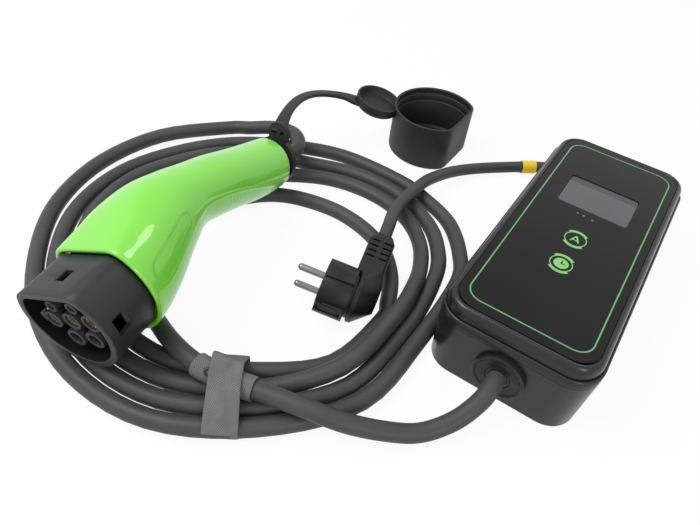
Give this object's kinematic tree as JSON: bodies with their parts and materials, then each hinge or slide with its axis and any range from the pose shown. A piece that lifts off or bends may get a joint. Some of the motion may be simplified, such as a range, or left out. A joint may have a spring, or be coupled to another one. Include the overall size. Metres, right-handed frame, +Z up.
{
  "type": "portable ev charger",
  "caption": "Portable electric car charger: flat control box with display and touch keys, green charging handle with tethered dust cap, coiled cable and mains plug.",
  "frame": {"origin": "middle of the underside of the control box, on the floor", "axes": "+Y along the long side of the box towards the end where the mains lead enters, +X to the side of the box away from the coil, +Z up"},
  "size_m": [0.42, 0.4294, 0.0888],
  "materials": {
    "shell_black": "fine satin moulded surface",
    "panel_black": "high gloss sheet",
    "print_green": "printed line, satin",
    "window_grey": "clear window over a grey display",
    "lamp_clear": "milky lens",
    "soft_black": "matt soft moulding",
    "nose_black": "fine grain moulding",
    "lime_green": "gloss moulding",
    "contact_brass": "bright turned metal",
    "pin_steel": "nickel plated",
    "board_green": "circuit board lacquer",
    "relay_blue": "moulded case",
    "core_brown": "coated ring core",
    "cable_black": "smooth matt sheath",
    "sleeve_yellow": "gloss sleeve",
    "strap_grey": "woven hook and loop tape"
  },
  "bodies": {
    "root": {"base_shell": "shell_black", "top_cover": "shell_black", "cover_seal": "soft_black", "front_panel": "panel_black", "outline_inlay": "print_green", "key_marks": "print_green", "display_window": "window_grey", "display_module": "board_green", "status_lamps": "lamp_clear", "main_board": "board_green", "switching_relay": "relay_blue", "current_sensor": "core_brown", "board_screws": "pin_steel", "case_screws": "pin_steel", "outlet_gland": "soft_black", "inlet_gland": "soft_black", "grip_shell": "lime_green", "nose_housing": "nose_black", "contact_carrier": "nose_black", "power_contacts": "contact_brass", "signal_contacts": "contact_brass", "rear_collar": "nose_black", "cap_tether": "soft_black", "dust_cap": "soft_black", "charge_cable": "cable_black", "mains_lead": "cable_black", "lead_sleeve": "sleeve_yellow", "plug_body": "nose_black", "plug_pins": "pin_steel", "earth_strips": "pin_steel", "tie_strap": "strap_grey"}
  },
  "joints": []
}
